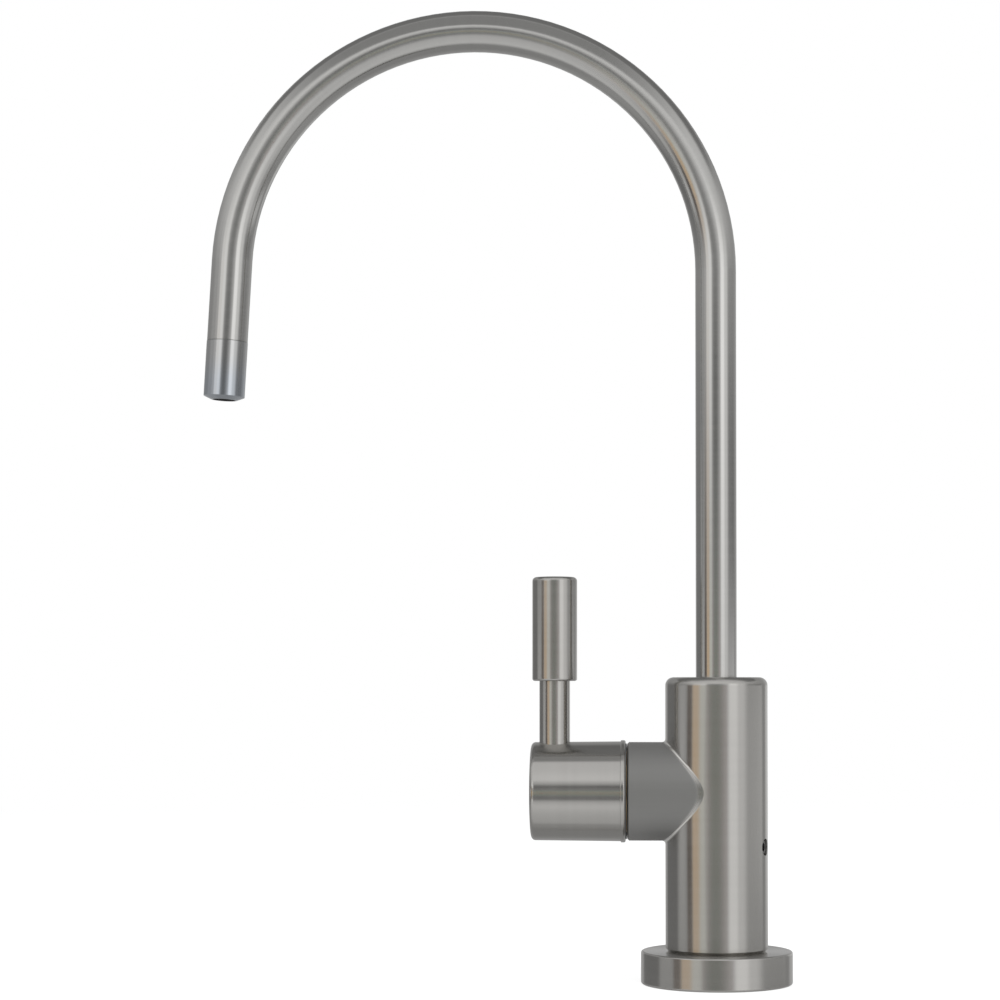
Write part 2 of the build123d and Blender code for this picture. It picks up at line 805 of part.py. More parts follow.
def make_lever_knob():
    low = stem_seat() + stem_length
    high = low + knob_length
    knob = rod(knob_radius, low, high)
    knob = fillet(circle_edges(knob, knob_radius, high), knob_top_round)
    knob = fillet(circle_edges(knob, knob_radius, low), knob_foot_round)
    hole_top = low + stem_stud_length + knob_hole_spare
    knob -= rod(stem_tail_radius + thread_clearance, low - over, hole_top)
    return valve_frame.location * (lever_frame() * knob)


save(make_base_flange(), "base_flange")
save(make_base_gasket(), "base_gasket")
save(make_faucet_body(), "faucet_body")
save(make_body_o_ring(), "body_o_ring")
save(make_body_grub_screw(), "body_grub_screw")
save(make_threaded_shank(), "threaded_shank")
save(make_shank_seal(), "shank_seal")
save(make_supply_sleeve(), "supply_sleeve")
save(make_supply_nut(), "supply_nut")
save(make_clamp_washer(), "clamp_washer")
save(make_lock_washer(), "lock_washer")
save(make_mounting_nut(), "mounting_nut")
save(make_spout_tube(), "spout_tube")
save(make_spout_ferrule(), "spout_ferrule")
save(make_spout_o_rings(), "spout_o_rings")
save(make_spout_guide_ring(), "spout_guide_ring")
save(make_spout_snap_ring(), "spout_snap_ring")
save(make_outlet_tip(), "outlet_tip")
save(make_outlet_o_ring(), "outlet_o_ring")
save(make_flow_straightener(), "flow_straightener")
save(make_cartridge_barrel(), "cartridge_barrel")
save(make_cartridge_o_ring(), "cartridge_o_ring")
save(make_cartridge_seat_seal(), "cartridge_seat_seal")
save(make_fixed_disc(), "fixed_disc")
save(make_moving_disc(), "moving_disc")
save(make_cartridge_spindle(), "cartridge_spindle")
save(make_spindle_o_rings(), "spindle_o_rings")
save(make_spindle_clip(), "spindle_clip")
save(make_cartridge_nut(), "cartridge_nut")
save(make_handle_hub(), "handle_hub")
save(make_hub_glide_ring(), "hub_glide_ring")
save(make_lever_stem(), "lever_stem")
save(make_lever_knob(), "lever_knob")
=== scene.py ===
import math

import bpy
from mathutils import Euler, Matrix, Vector


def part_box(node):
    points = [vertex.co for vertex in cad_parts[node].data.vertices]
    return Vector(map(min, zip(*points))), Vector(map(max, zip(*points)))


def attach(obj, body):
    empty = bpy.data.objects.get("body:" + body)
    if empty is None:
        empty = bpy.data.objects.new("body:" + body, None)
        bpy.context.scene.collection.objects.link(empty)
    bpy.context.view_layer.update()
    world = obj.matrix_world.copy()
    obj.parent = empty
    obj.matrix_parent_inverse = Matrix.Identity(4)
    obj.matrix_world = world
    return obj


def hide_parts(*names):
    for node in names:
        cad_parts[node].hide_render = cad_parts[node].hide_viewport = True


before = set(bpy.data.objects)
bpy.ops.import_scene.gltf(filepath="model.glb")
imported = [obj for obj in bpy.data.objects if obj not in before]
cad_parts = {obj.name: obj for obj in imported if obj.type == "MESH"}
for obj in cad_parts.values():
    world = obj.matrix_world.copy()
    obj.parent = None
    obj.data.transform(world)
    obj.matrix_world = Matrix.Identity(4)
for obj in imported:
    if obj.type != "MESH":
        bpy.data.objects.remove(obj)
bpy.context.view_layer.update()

scene = bpy.context.scene
scene.view_settings.view_transform = "Standard"

# The photograph's view
CAMERA_PLACE = Vector((-0.01249, -0.60477, 0.07329))
CAMERA_TURN = 2.5             # degrees to the left of +Y
CAMERA_RISE = 1.5             # degrees above the horizon
CAMERA_LENS = 88.73
CAMERA_SHIFT = (-0.0576, 0.1185)

# Places on the faucet, in metres
BODY_RADIUS = 0.0125
BOSS_RADIUS = 0.01204
BEND_RADIUS = 0.0599
BEND_HEIGHT = 0.1746          # of the bend's middle
BEND_ANGLE = math.radians(176.8)
DROP_LENGTH = 0.0201          # of the straight tube between bend and outlet tip
VALVE_HEIGHT = 0.0468
LEVER_PLACE = -0.0396
BORE_RADIUS = 0.0028
BOSS_EDGE = (0.0002, 0.0007)      # off the column, where the boss's own finish and its painted shade come in
SEAM_EDGE = (0.00002, 0.00007)    # off both, where the rounded seam gets its painted highlight
BEND_BRUSHED = (0.175, 0.215)     # heights between which the bend's stronger brushing comes in
TIP_COOLING = (0.003, 0.011)      # below the tip's joint, where its cool cast comes in

# The shank's thread, 24 turns to the inch
THREAD_PITCH = 0.0254 / 24
THREAD_CREST = 0.005556
RIDGE_WIDTH = 0.96            # of the pitch, at the ridge's hidden foot
RIDGE_SHOWN = 0.86            # of the ridge's height
RIDGE_START = 0.0011          # plain length at either end
# The shank's bore, with the supply tube's socket and the sleeve's cone at its foot
SHANK_BORE = 0.0030
SOCKET_RADIUS = 0.0033
SOCKET_DEPTH = 0.012
CONE_RADIUS = 0.0044
CONE_DEPTH = 0.0012
SHANK_CHAMFER = (0.0002, 0.0003)

NICKEL = (0.50, 0.49, 0.47, 1)
TUBE_NICKEL = (0.545, 0.54, 0.525, 1)
# Painted shade: the boss's nickel, darkened for its dimmer reflections
BOSS_SHADED_NICKEL = (0.39, 0.388, 0.38, 1)
# Painted highlight: the rounded seam's nickel, lightened for its bright reflection
SEAM_PAINTED_HIGHLIGHT = (0.80, 0.79, 0.76, 1)
POLISHED = (0.54, 0.542, 0.54, 1)
COOL_POLISHED = (0.51, 0.54, 0.58, 1)
# Painted shade for the inside of the outlet's bore
OUTLET_PAINTED_SHADE = (0.015, 0.015, 0.016, 1)
BRASS = (0.72, 0.53, 0.26, 1)
PLATED_BRASS = (0.62, 0.60, 0.55, 1)
ZINC_STEEL = (0.60, 0.60, 0.58, 1)
DARK_STEEL = (0.28, 0.28, 0.28, 1)
RUBBER = (0.03, 0.03, 0.03)
WHITE_PLASTIC = (0.82, 0.82, 0.80)
BLACK_PLASTIC = (0.05, 0.05, 0.05)
CERAMIC = (0.88, 0.88, 0.86)
# Roughness
TURNED = 0.19
TURNED_BODY = 0.20
TURNED_HUB = 0.18
BOSS_DULLER = 0.25            # more than the column
TUBE_LEG, TUBE_BEND = 0.14, 0.20
TIP_POLISH, TIP_INSIDE = 0.15, 0.55
# How far brushing draws reflections out along a piece
BRUSHED = 0.9
BRUSHED_TIP = 0.5
OUTWARD_LEAN = 0.3            # of the brushing's direction, for the flat ends
# The brushed lines: their spacing, how often they break in a metre, and the coarse lines among them
LINE_SPACING = 0.0004
LINE_BREAKS = 45.0
COARSE_SCALE = 0.23
COARSE_SHARE, FINE_SHARE = 0.6, 0.4

# The studio wall: its own light low down, at the knob's height and at the bend's height, then the panels
# hung on it. A panel's place is a bearing round the faucet in degrees, 0 towards the camera and positive
# to the right.
STUDIO_REACH = 1.25
STUDIO_HEIGHT = 1.0
CEILING_SIDE = 1.3
BEARING_STEP = 2
WALL_LIGHT = (0.50, 0.45, 0.40)
PANELS = [
    # bearing, half width, soft edge, light at the three heights
    (48, 8, 32, 0.86, 0.80, 0.98),                                          # right soft light
    (98, 16, 20, 0.80, 0.18, 0.38),                                         # right side
    (132, 4, 8, 0.38, 0.36, 0.42),                                          # right rear flag
    (156, 10, 8, 0.74, 0.50, 0.50),                                         # right rear light
    (37, 6, 9, 0.98, 1.10, 1.52),                                           # right white panel
    (-122, 20, 9, 0.22, 0.26, 0.33),                                        # left rear flag
    (-83, 4, 6, 0.80, 0.22, 0.44),                                          # left small light
    (-38, 8, 14, (0.76, 0.76, 0.66), 0.60, 1.26),                           # left white panel
    (-3, 3, 20, (0.36, 0.48, 0.41), 0.25, 0.10),                            # front flag
    (-48, 4, 9, (0.84, 0.58, 0.32), (0.54, 0.46, 0.38), 1.12),              # warm panel
    (-63, 4, 5, (0.05, 0.03, 0.02), (0.26, 0.22, 0.19), 0.60),              # thin dark flag
]
# Each height on the wall, how far its light has gone from low to knob to bend, and how much of it is left
# in the soft light from above
WALL_ROWS = [
    (0.0, 0.0, 1.0),
    (0.07, 0.0, 1.0),
    (0.15, 1.0, 1.0),
    (0.20, 1.0, 1.0),
    (0.33, 2.0, 1.0),
    (0.38, 2.0, 0.8),
    (0.46, 2.0, 0.5),
    (0.70, 2.0, 0.0),
    (1.0, 2.0, 0.0),
]
# A warm strip low on the wall in front, which draws a thin line along the hub
STRIP_ROWS = (0.016, 0.018, 0.085, 0.089)
STRIP_REACH = 24
STRIP_LIGHT = (0.38, 0.20, 0.16)
# The soft light from above, over the camera's side and over the back
HIGH_LIGHT_FRONT = 0.88
HIGH_LIGHT_BACK = 0.35
# Across the ceiling from the camera's side to the back
CEILING_LIGHT = [
    (-1.3, 0.88), (-0.75, 0.80), (-0.30, 0.78), (-0.08, 0.50), (0.10, 0.25), (0.80, 0.20), (1.3, 0.35)
]
# A small flag close above the spout's bend, soft at its ends
FLAG_HEIGHT = 0.262
FLAG_SIDES = [(-0.165, 0.70), (-0.115, 0.34), (-0.01, 0.34), (0.04, 0.70)]
FLAG_DEPTHS = [(-0.006, 0.34), (-0.055, 0.34), (-0.070, 0.70)]
ROOM_LIGHT = (0.65, 0.65, 0.65, 1)
WHITE = (1, 1, 1, 1)

LAMP_PLACE = (-0.2, -0.5, 1.6)
LAMP_TILT = 18
LAMP_SIZE = 1.4
LAMP_POWER = 70

FLOOR_REACH = 40
FLOOR_LEVEL = -0.0001         # a hair below the deck, clear of the gasket that lies on it
FLOOR_PALE = (0.9, 0.9, 0.9, 1)
FLOOR_POLISH = (0.92, 0.92, 0.92, 1)
# The floor's painted light and shade as metal sees it, from half a metre in front of the faucet to the
# painted shade under it
FLOOR_DEPTH = (-0.5, 0.0)
FLOOR_PAINTED_SHADE = [(0.0, 0.42), (0.60, 0.66), (0.86, 0.78), (1.0, 0.42)]
# Metal sees the painted light and shade where it looks steeply at the floor, and the polish where it looks
# flatly
FLOOR_SLANT = (0.55, 0.82)
FLOOR_STEEP_SHARE = 0.65
# How much of the floor's white is its own near the faucet, where the rest shows the shadow. It rises to all
# of it between two distances, so that no horizon shows.
FLOOR_GLOW = 0.88
FLOOR_FAR = (0.15, 0.9)


class Nodes:
    """Short ways to add and join nodes in one tree."""

    def __init__(self, tree):
        self.tree = tree

    def add(self, kind, **values):
        node = self.tree.nodes.new(kind)
        for key, value in values.items():
            setattr(node, key, value)
        return node

    def join(self, source, target):
        if isinstance(source, (int, float, tuple)):
            target.default_value = source
        else:
            self.tree.links.new(source, target)

    def fill(self, kind, **values):
        """A node's first output, with the named inputs joined."""
        node = self.add(kind)
        for key, value in values.items():
            self.join(value, node.inputs[key])
        return node.outputs[0]

    def math(self, operation, first, second=0.0, third=0.0):
        node = self.add("ShaderNodeMath", operation=operation)
        for value, socket in zip((first, second, third), node.inputs):
            self.join(value, socket)
        return node.outputs[0]

    def vector(self, operation, first, second=None, scale=None):
        node = self.add("ShaderNodeVectorMath", operation=operation)
        self.join(first, node.inputs[0])
        if second is not None:
            self.join(second, node.inputs[1])
        if scale is not None:
            self.join(scale, node.inputs["Scale"])
        return node.outputs["Value"] if operation in ("LENGTH", "DOT_PRODUCT") else node.outputs["Vector"]

    def combine(self, x, y, z):
        node = self.add("ShaderNodeCombineXYZ")
        for value, socket in zip((x, y, z), node.inputs):
            self.join(value, socket)
        return node.outputs[0]

    def separate(self, vector):
        node = self.add("ShaderNodeSeparateXYZ")
        self.join(vector, node.inputs[0])
        return node.outputs["X"], node.outputs["Y"], node.outputs["Z"]

    def ramp(self, value, low, high, to_low=0.0, to_high=1.0, way="SMOOTHSTEP"):
        node = self.add("ShaderNodeMapRange", interpolation_type=way)
        names = ("Value", "From Min", "From Max", "To Min", "To Max")
        for source, name in zip((value, low, high, to_low, to_high), names):
            self.join(source, node.inputs[name])
        return node.outputs[0]

    def mix_vector(self, share, first, second):
        node = self.add("ShaderNodeMix", data_type="VECTOR")
        self.join(share, node.inputs["Factor"])
        self.join(first, node.inputs[4])
        self.join(second, node.inputs[5])
        return node.outputs[1]

    def mix_colour(self, share, first, second):
        node = self.add("ShaderNodeMix", data_type="RGBA")
        self.join(share, node.inputs["Factor"])
        self.join(first, node.inputs["A"])
        self.join(second, node.inputs["B"])
        return node.outputs["Result"]

    def mix_shader(self, share, first, second):
        node = self.add("ShaderNodeMixShader")
        for value, socket in zip((share, first, second), node.inputs):
            self.join(value, socket)
        return node.outputs[0]

    def rays(self, *kinds):
        """1 for rays of the named kinds."""
        path = self.add("ShaderNodeLightPath")
        share = path.outputs[kinds[0]]
        for kind in kinds[1:]:
            share = self.math("MAXIMUM", share, path.outputs[kind])
        return share

    def object_place(self):
        return self.add("ShaderNodeTexCoord").outputs["Object"]


def empty_nodes(owner):
    owner.use_nodes = True
    owner.node_tree.nodes.clear()
    return Nodes(owner.node_tree)


def make_camera():
    data = bpy.data.cameras.new("camera")
    data.sensor_width = 36
    data.lens = CAMERA_LENS
    data.shift_x, data.shift_y = CAMERA_SHIFT
    data.clip_start = 0.01
    data.clip_end = 50
    camera = bpy.data.objects.new("camera", data)
    camera.location = CAMERA_PLACE
    camera.rotation_euler = Euler((math.radians(90 + CAMERA_RISE), 0, math.radians(CAMERA_TURN)), "XYZ")
    scene.collection.objects.link(camera)
    scene.camera = camera


def make_world():
    """White for the rays that show the background: the camera's, a mirror's and a glass's."""
    world = bpy.data.worlds.new("studio")
    scene.world = world
    nodes = empty_nodes(world)
    soft = nodes.fill("ShaderNodeBackground", Color=ROOM_LIGHT)
    white = nodes.fill("ShaderNodeBackground", Color=WHITE)
    share = nodes.rays("Is Camera Ray", "Is Glossy Ray", "Is Transmission Ray")
    output = nodes.add("ShaderNodeOutputWorld")
    nodes.join(nodes.mix_shader(share, soft, white), output.inputs["Surface"])


def rgb(value):
    return Vector(value) if isinstance(value, tuple) else Vector((value, value, value))


def between(stops, place):
    """The values between two stops."""
    for first, second in zip(stops, stops[1:]):
        if place <= second[0]:
            share = (place - first[0]) / (second[0] - first[0])
            return [a + (b - a) * share for a, b in zip(first[1:], second[1:])]
    return stops[-1][1:]


def soft_edge(share):
    share = min(max(share, 0.0), 1.0)
    return share * share * (3 - 2 * share)


def wall_light(bearing, height):
    """The wall's light with its panels, fading into the soft light from above."""
    lights = [rgb(light) for light in WALL_LIGHT]
    for middle, half, soft, *panel in PANELS:
        away = abs((bearing - middle + 180) % 360 - 180)
        cover = 1.0 - soft_edge((away - half) / soft)
        lights = [light.lerp(rgb(own), cover) for light, own in zip(lights, panel)]
    stage, left = between(WALL_ROWS, height)
    own = lights[0].lerp(lights[1], min(stage, 1.0)).lerp(lights[2], max(stage - 1.0, 0.0))
    front = 0.5 + 0.5 * math.cos(math.radians(bearing))
    return rgb(HIGH_LIGHT_BACK + (HIGH_LIGHT_FRONT - HIGH_LIGHT_BACK) * front).lerp(own, left)


def studio_material():
    material = bpy.data.materials.new("studio_light")
    nodes = empty_nodes(material)
    light = nodes.add("ShaderNodeAttribute", attribute_name="light")
    glow = nodes.fill("ShaderNodeEmission", Color=light.outputs["Color"])
    nodes.join(glow, nodes.add("ShaderNodeOutputMaterial").inputs["Surface"])
    material.cycles.emission_sampling = "NONE"
    return material


def lit_sheet(name, rows, material):
    """A studio sheet from rows of (place, light) points. Only metal sees it."""
    width = len(rows[0])
    places = [place for row in rows for place, _ in row]
    faces = []
    for j in range(len(rows) - 1):
        for i in range(width - 1):
            corner = j * width + i
            faces.append((corner, corner + 1, corner + width + 1, corner + width))
    mesh = bpy.data.meshes.new(name)
    mesh.from_pydata(places, [], faces)
    light = mesh.attributes.new("light", "FLOAT_COLOR", "POINT")
    for index, (_, value) in enumerate(point for row in rows for point in row):
        light.data[index].color = (*value, 1)
    mesh.materials.append(material)
    sheet = bpy.data.objects.new(name, mesh)
    scene.collection.objects.link(sheet)
    sheet.visible_camera = False
    sheet.visible_diffuse = False
    sheet.visible_transmission = False
    sheet.visible_shadow = False


def wall_row(height):
    row = []
    for bearing in range(-180, 181, BEARING_STEP):
        turn = math.radians(bearing)
        place = (STUDIO_REACH * math.sin(turn), -STUDIO_REACH * math.cos(turn), height)
        in_strip = height in STRIP_ROWS[1:3] and abs(bearing) < STRIP_REACH
        row.append((place, rgb(STRIP_LIGHT) if in_strip else wall_light(bearing, height)))
    return row


def make_studio():
    """Grey and bright walls with a few dark and warm panels, as a studio has round a metal object."""
    material = studio_material()
    heights = sorted({row[0] for row in WALL_ROWS} | set(STRIP_ROWS))
    lit_sheet("studio_wall", [wall_row(height) for height in heights], material)
    ceiling = []
    for back, light in CEILING_LIGHT:
        sides = (-CEILING_SIDE, CEILING_SIDE)
        ceiling.append([((side, back, STUDIO_HEIGHT), rgb(light)) for side in sides])
    lit_sheet("studio_ceiling", ceiling, material)
    flag = []
    for back, soft in FLAG_DEPTHS:
        flag.append([((side, back, FLAG_HEIGHT), rgb(max(soft, end))) for side, end in FLAG_SIDES])
    lit_sheet("studio_bend_flag", flag, material)


def painted_floor_shade(nodes, place):
    """The floor's glow from front to back as metal sees it: painted light in front of the faucet and
    painted shade under it.
    """
    _, back, _ = nodes.separate(place)
    shade = nodes.add("ShaderNodeValToRGB")
    for index, (stop, value) in enumerate(FLOOR_PAINTED_SHADE):
        element = shade.color_ramp.elements[index] if index < 2 else shade.color_ramp.elements.new(stop)
        element.position = stop
        element.color = (value, value, value, 1)
    nodes.join(nodes.ramp(back, *FLOOR_DEPTH, way="LINEAR"), shade.inputs["Fac"])
    return shade.outputs["Color"]


def floor_material():
    """Pale, polished where metal mirrors it, and white to the camera but for the faucet's shadow."""
    material = bpy.data.materials.new("floor")
    nodes = empty_nodes(material)
    place = nodes.object_place()
    pale = nodes.fill("ShaderNodeBsdfDiffuse", Color=FLOOR_PALE)
    polish = nodes.fill("ShaderNodeBsdfGlossy", Color=FLOOR_POLISH, Roughness=0.05)
    # Metal sees this glow: painted light in front of the faucet, painted shade under it
    near = nodes.fill("ShaderNodeEmission", Color=painted_floor_shade(nodes, place))
    slant = nodes.add("ShaderNodeLayerWeight").outputs["Facing"]
    steep = nodes.ramp(slant, *FLOOR_SLANT, FLOOR_STEEP_SHARE, 0.0)
    surface = nodes.mix_shader(nodes.rays("Is Glossy Ray"), pale, nodes.mix_shader(steep, polish, near))
    glow = nodes.ramp(nodes.vector("LENGTH", place), *FLOOR_FAR, FLOOR_GLOW, 1.0)
    share = nodes.math("MULTIPLY", nodes.rays("Is Camera Ray", "Is Transmission Ray"), glow)
    white = nodes.fill("ShaderNodeEmission", Color=WHITE)
    output = nodes.add("ShaderNodeOutputMaterial")
    nodes.join(nodes.mix_shader(share, surface, white), output.inputs["Surface"])
    return material


def make_floor():
    mesh = bpy.data.meshes.new("floor")
    sides = [(-1, -1), (1, -1), (1, 1), (-1, 1)]
    corners = [(x * FLOOR_REACH, y * FLOOR_REACH, FLOOR_LEVEL) for x, y in sides]
    mesh.from_pydata(corners, [], [(0, 1, 2, 3)])
    mesh.materials.append(floor_material())
    floor = bpy.data.objects.new("floor", mesh)
    scene.collection.objects.link(floor)


def make_lamp():
    data = bpy.data.lights.new("soft_lamp", "AREA")
    data.shape = "SQUARE"
    data.size = LAMP_SIZE
    data.energy = LAMP_POWER
    lamp = bpy.data.objects.new("soft_lamp", data)
    lamp.location = LAMP_PLACE
    lamp.rotation_euler = Euler((math.radians(LAMP_TILT), 0, 0), "XYZ")
    lamp.visible_glossy = False
    lamp.visible_camera = False
    scene.collection.objects.link(lamp)


def make_group(name, inputs, outputs):
    tree = bpy.data.node_groups.new(name, "ShaderNodeTree")
    for title, kind, value in inputs:
        socket = tree.interface.new_socket(title, in_out="INPUT", socket_type=kind)
        if value is not None:
            socket.default_value = value
    for title, kind in outputs:
        tree.interface.new_socket(title, in_out="OUTPUT", socket_type=kind)
    nodes = Nodes(tree)
    return tree, nodes, nodes.add("NodeGroupInput"), nodes.add("NodeGroupOutput")


def brushing_group():
    """Fine lines round a turned piece. Place is (across the lines, along them, along them)."""
    tree, nodes, given, result = make_group(
        "brushing",
        [("Place", "NodeSocketVector", None), ("Spacing", "NodeSocketFloat", LINE_SPACING)],
        [("Lines", "NodeSocketFloat")],
    )
    across, along, other = nodes.separate(given.outputs["Place"])
    count = nodes.math("DIVIDE", 1.0, given.outputs["Spacing"])
    stretched = nodes.combine(
        nodes.math("MULTIPLY", across, count),
        nodes.math("MULTIPLY", along, LINE_BREAKS),
        nodes.math("MULTIPLY", other, LINE_BREAKS),
    )
    fine = nodes.fill("ShaderNodeTexNoise", Vector=stretched, Scale=1.0, Detail=2.0)
    coarse = nodes.fill("ShaderNodeTexNoise", Vector=stretched, Scale=COARSE_SCALE, Detail=1.0)
    both = nodes.math("MULTIPLY_ADD", coarse, COARSE_SHARE, nodes.math("MULTIPLY", fine, FINE_SHARE))
    nodes.join(nodes.math("SUBTRACT", both, 0.5), result.inputs["Lines"])
    return tree


def handling_group():
    """Soft clouds where hands and drops have dulled a surface a little."""
    tree, nodes, given, result = make_group(
        "handling",
        [("Place", "NodeSocketVector", None), ("Size", "NodeSocketFloat", 0.02)],
        [("Clouds", "NodeSocketFloat")],
    )
    scale = nodes.math("DIVIDE", 1.0, given.outputs["Size"])
    noise = nodes.fill("ShaderNodeTexNoise", Vector=given.outputs["Place"], Scale=scale, Detail=3.0)
    nodes.join(nodes.math("SUBTRACT", noise, 0.5), result.inputs["Clouds"])
    return tree


brushing = brushing_group()
handling = handling_group()


def new_material(name):
    material = bpy.data.materials.new(name)
    material.use_nodes = True
    return Nodes(material.node_tree), material.node_tree.nodes["Principled BSDF"], material


def place_group(nodes, tree, **values):
    node = nodes.add("ShaderNodeGroup", node_tree=tree)
    for key, value in values.items():
        nodes.join(value, node.inputs[key])
    return node.outputs[0]


def world_direction(nodes, vector):
    turn = nodes.add("ShaderNodeVectorTransform", convert_from="OBJECT", convert_to="WORLD")
    turn.vector_type = "VECTOR"
    nodes.join(vector, turn.inputs[0])
    return turn.outputs[0]


def leaning(nodes, outwards, along):
    """The direction along a piece, leaning outwards so that it also works on its flat ends."""
    lean = nodes.vector("SCALE", nodes.vector("NORMALIZE", outwards), scale=OUTWARD_LEAN)
    return nodes.vector("ADD", lean, along)


def upright(nodes, place, centre_x=0.0):
    x, y, _ = nodes.separate(place)
    return leaning(nodes, nodes.combine(nodes.math("SUBTRACT", x, centre_x), y, 0.0), (0.0, 0.0, 1.0))


def sideways(nodes, place):
    _, y, z = nodes.separate(place)
    return leaning(nodes, nodes.combine(0.0, y, nodes.math("SUBTRACT", z, VALVE_HEIGHT)), (1.0, 0.0, 0.0))


def round_valve(nodes, place):
    """Direction round the valve's axis."""
    _, y, z = nodes.separate(place)
    return nodes.combine(0.0, nodes.math("SUBTRACT", VALVE_HEIGHT, z), y)


def along_spout(nodes, place):
    """Direction along the bent tube."""
    x, _, z = nodes.separate(place)
    above = nodes.math("MAXIMUM", nodes.math("SUBTRACT", z, BEND_HEIGHT), 0.0)
    return nodes.combine(nodes.math("MULTIPLY", above, -1.0), 0.0, nodes.math("ADD", x, BEND_RADIUS))


def spout_length(nodes, place):
    """How far along the bent tube a point lies."""
    x, _, z = nodes.separate(place)
    from_centre = nodes.math("ADD", x, BEND_RADIUS)
    above = nodes.math("MAXIMUM", nodes.math("SUBTRACT", z, BEND_HEIGHT), 0.0)
    below = nodes.math("MINIMUM", nodes.math("SUBTRACT", z, BEND_HEIGHT), 0.0)
    angle = nodes.math("ARCTAN2", above, from_centre)
    side = nodes.math("SIGN", from_centre)
    return nodes.math("MULTIPLY_ADD", below, side, nodes.math("MULTIPLY", angle, BEND_RADIUS))


def add_relief(nodes, shader, pattern, strength, height):
    bump = nodes.add("ShaderNodeBump")
    bump.inputs["Strength"].default_value = strength
    bump.inputs["Distance"].default_value = height
    nodes.join(pattern, bump.inputs["Height"])
    nodes.join(bump.outputs[0], shader.inputs["Normal"])


def finish_metal(nodes, shader, colour, roughness, lines, clouds, grain=0.05, dull=0.05, height=1.5e-6):
    """Colour, roughness and relief of a metal from its brushed lines and its clouds."""
    shade = nodes.math("MULTIPLY_ADD", lines, grain * 2, nodes.math("MULTIPLY_ADD", clouds, grain, 1.0))
    tint = nodes.vector("SCALE", colour[:3] if isinstance(colour, tuple) else colour, scale=shade)
    nodes.join(tint, shader.inputs["Base Color"])
    rough = nodes.math("MULTIPLY_ADD", lines, dull, nodes.math("MULTIPLY_ADD", clouds, dull, roughness))
    nodes.join(rough, shader.inputs["Roughness"])
    shader.inputs["Metallic"].default_value = 1
    add_relief(nodes, shader, lines, 0.35, height)


def brush(nodes, shader, direction, amount=BRUSHED):
    """Draw reflections out along a direction, across the brushed lines."""
    shader.inputs["Anisotropic"].default_value = amount
    nodes.join(world_direction(nodes, direction), shader.inputs["Tangent"])


def turned_nickel(name, centre_x=0.0):
    """Brushed nickel on an upright turned piece: fine lines run round it."""
    nodes, shader, material = new_material(name)
    place = nodes.object_place()
    x, y, z = nodes.separate(place)
    lines = place_group(nodes, brushing, Place=nodes.combine(z, x, y))
    clouds = place_group(nodes, handling, Place=place)
    finish_metal(nodes, shader, NICKEL, TURNED, lines, clouds)
    brush(nodes, shader, upright(nodes, place, centre_x))
    return material


def body_nickel():
    """The column is turned; its valve boss is brushed round and darkened with painted shade, and their
    rounded seam is lightened with a painted highlight.
    """
    nodes, shader, material = new_material("body_nickel")
    place = nodes.object_place()
    x, y, z = nodes.separate(place)
    off_column = nodes.math("SUBTRACT", nodes.vector("LENGTH", nodes.combine(x, y, 0.0)), BODY_RADIUS)
    from_valve = nodes.vector("LENGTH", nodes.combine(0.0, y, nodes.math("SUBTRACT", z, VALVE_HEIGHT)))
    off_boss = nodes.math("SUBTRACT", from_valve, BOSS_RADIUS)
    boss = nodes.ramp(off_column, *BOSS_EDGE)
    seam_highlight = nodes.ramp(nodes.math("MINIMUM", off_column, off_boss), *SEAM_EDGE)
    column_lines = nodes.combine(z, x, y)
    boss_lines = nodes.combine(z, x, 0.0)
    lines = place_group(nodes, brushing, Place=nodes.mix_vector(boss, column_lines, boss_lines))
    clouds = place_group(nodes, handling, Place=place)
    # Painted shade darkens the boss's colour, and a painted highlight lightens the seam's colour
    colour = nodes.mix_colour(boss, NICKEL, BOSS_SHADED_NICKEL)
    colour = nodes.mix_colour(seam_highlight, colour, SEAM_PAINTED_HIGHLIGHT)
    plain_boss = nodes.math("MULTIPLY", boss, nodes.math("SUBTRACT", 1.0, seam_highlight))
    roughness = nodes.math("MULTIPLY_ADD", plain_boss, BOSS_DULLER, TURNED_BODY)
    finish_metal(nodes, shader, colour, roughness, lines, clouds, height=2e-6)
    along_column = nodes.vector("NORMALIZE", upright(nodes, place))
    round_boss = nodes.vector("NORMALIZE", round_valve(nodes, place))
    brush(nodes, shader, nodes.mix_vector(boss, along_column, round_boss))
    return material


def hub_nickel():
    """Turned like the column, on the valve's level axis."""
    nodes, shader, material = new_material("hub_nickel")
    place = nodes.object_place()
    lines = place_group(nodes, brushing, Place=place)
    clouds = place_group(nodes, handling, Place=place)
    finish_metal(nodes, shader, NICKEL, TURNED_HUB, lines, clouds)
    brush(nodes, shader, sideways(nodes, place))
    return material


def tube_nickel():
    """Brushed round the tube, and more on the bend than on the straight legs."""
    nodes, shader, material = new_material("tube_nickel")
    place = nodes.object_place()
    _, y, z = nodes.separate(place)
    lines = place_group(nodes, brushing, Place=nodes.combine(spout_length(nodes, place), y, 0.0))
    clouds = place_group(nodes, handling, Place=place)
    roughness = nodes.ramp(z, *BEND_BRUSHED, TUBE_LEG, TUBE_BEND)
    finish_metal(nodes, shader, TUBE_NICKEL, roughness, lines, clouds, height=1e-6)
    brush(nodes, shader, along_spout(nodes, place))
    return material


